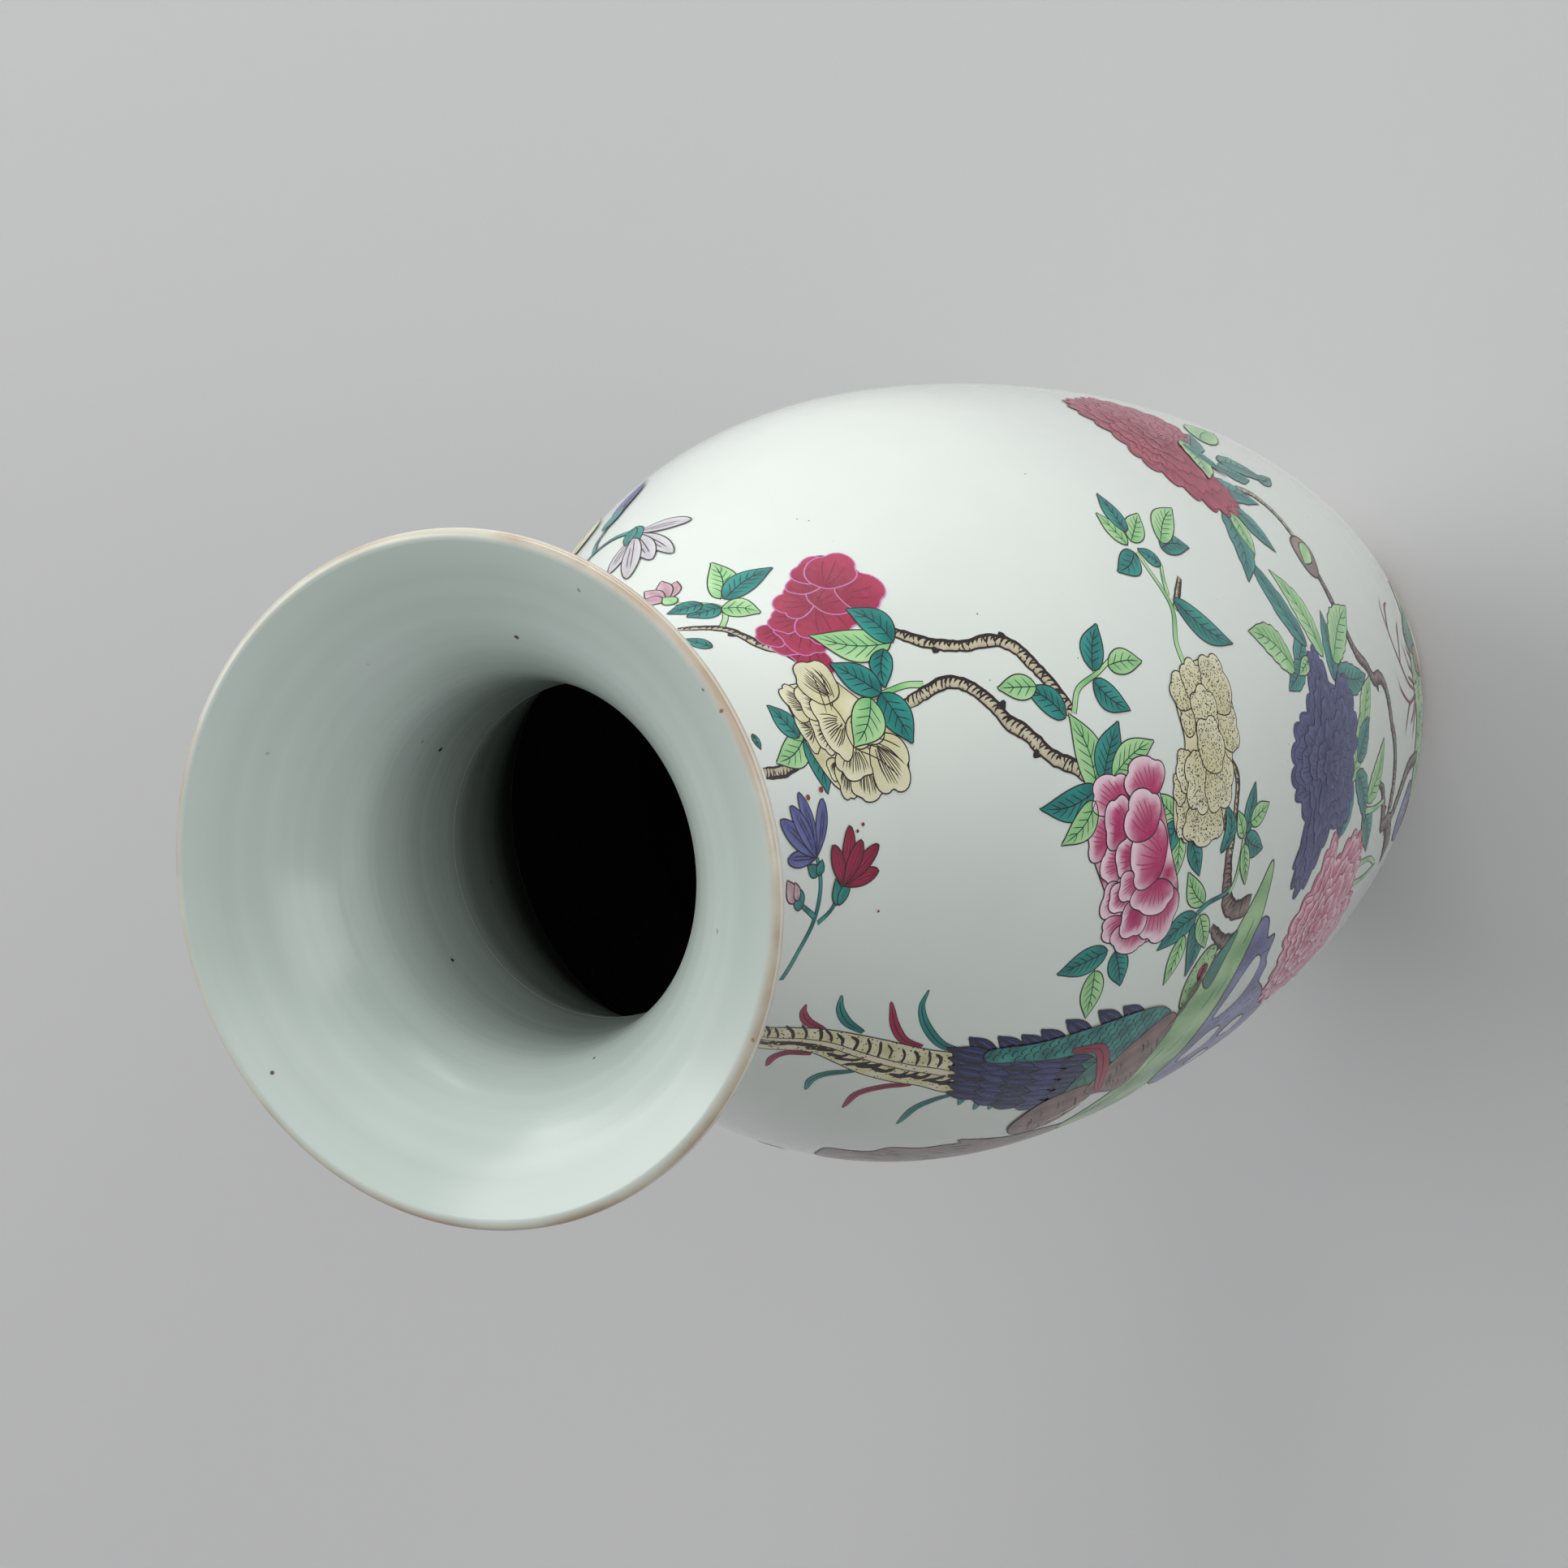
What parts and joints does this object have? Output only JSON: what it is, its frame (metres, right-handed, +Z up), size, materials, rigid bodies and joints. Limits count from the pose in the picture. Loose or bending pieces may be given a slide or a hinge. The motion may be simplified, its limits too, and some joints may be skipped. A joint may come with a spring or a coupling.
{
  "type": "porcelain vase",
  "caption": "Tall ovoid porcelain vase with a short waisted neck, a wide flared mouth, a rounded lip and a recessed foot ring.",
  "frame": {"origin": "centre of the foot ring's resting face, on the axis of the vase", "axes": "+Z up the axis towards the mouth; the vase is a turned shape, so +X and +Y are free and the painted front faces -Y and +X"},
  "size_m": [0.1878, 0.1878, 0.45],
  "materials": {
    "glazed_porcelain": "pale green-white transparent glaze over white porcelain, painted over the glaze in raised enamels",
    "luting_slip": "fired porcelain slip, matt",
    "overglaze_enamel": "raised translucent enamels, glossy, with dark brown outlines"
  },
  "bodies": {
    "root": {"base_with_foot_ring": "glazed_porcelain", "lower_body": "glazed_porcelain", "upper_body": "glazed_porcelain", "neck": "glazed_porcelain", "flared_mouth": "glazed_porcelain", "base_luting": "luting_slip", "belly_luting": "luting_slip", "shoulder_luting": "luting_slip", "neck_luting": "luting_slip"}
  },
  "joints": []
}
